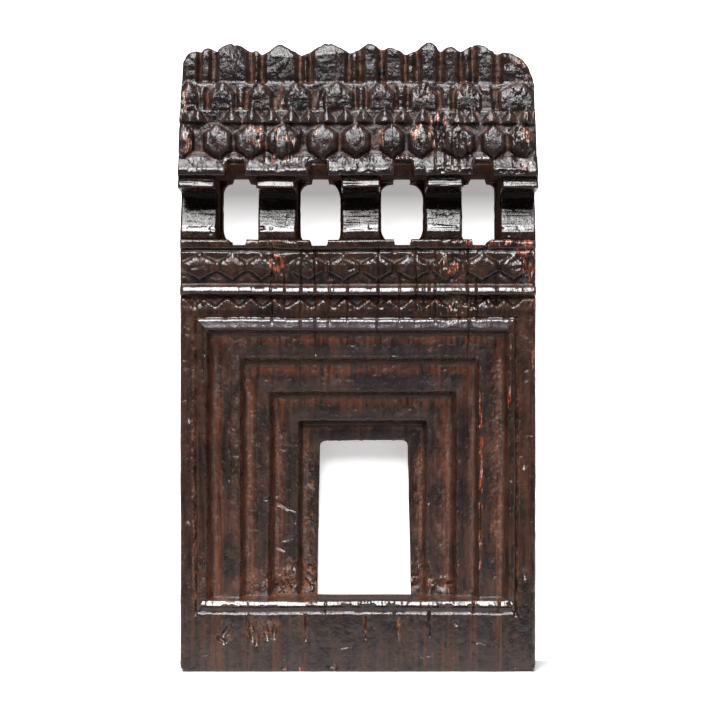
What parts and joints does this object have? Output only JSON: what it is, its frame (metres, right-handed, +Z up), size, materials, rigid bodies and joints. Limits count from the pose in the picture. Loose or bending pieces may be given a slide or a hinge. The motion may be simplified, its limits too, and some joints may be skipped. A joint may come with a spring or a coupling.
{
  "type": "carved wooden headrest",
  "caption": "Upright hardwood headrest panel carved as a small shrine front: stepped doorway, open arcade, deep cornice and a crown of pointed blocks.",
  "frame": {"origin": "on the ground under the middle of the overall box", "axes": "+Z up, the carved face towards -Y, the flat back towards +Y, +X to the right seen from the front"},
  "size_m": [0.169, 0.052, 0.3],
  "materials": {
    "handled_wood": "dark hardwood, waxed and handled to a semi-gloss patina, arrises worn bright",
    "recess_wood": "the same timber in the recesses, red-brown with dry dust in the hollows",
    "arcade_wood": "the same timber, near-black and glossy outside, unpolished brown in the openings",
    "crown_wood": "the same timber, chipped and cracked, with orange wood showing in the grooves"
  },
  "bodies": {
    "root": {"base_plinth": "handled_wood", "sill": "handled_wood", "border_stile_left": "handled_wood", "border_stile_right": "handled_wood", "moulding_jamb_left": "handled_wood", "moulding_jamb_right": "handled_wood", "moulding_lintel": "handled_wood", "frame_1_jamb_left": "recess_wood", "frame_1_jamb_right": "recess_wood", "frame_1_lintel": "recess_wood", "frame_2_jamb_left": "recess_wood", "frame_2_jamb_right": "recess_wood", "frame_2_lintel": "recess_wood", "frame_3_jamb_left": "recess_wood", "frame_3_jamb_right": "recess_wood", "frame_3_lintel": "recess_wood", "frame_4_jamb_left": "recess_wood", "frame_4_jamb_right": "recess_wood", "frame_4_lintel": "recess_wood", "tooth_band": "handled_wood", "roll_moulding": "handled_wood", "lozenge_band": "handled_wood", "arcade_ledge": "handled_wood", "pier_1": "arcade_wood", "pier_2": "arcade_wood", "pier_3": "arcade_wood", "pier_4": "arcade_wood", "pier_5": "arcade_wood", "cornice": "arcade_wood", "hexagon_course": "crown_wood", "triangle_course": "crown_wood", "lower_merlon_course": "crown_wood", "upper_merlon_course": "crown_wood"}
  },
  "joints": []
}
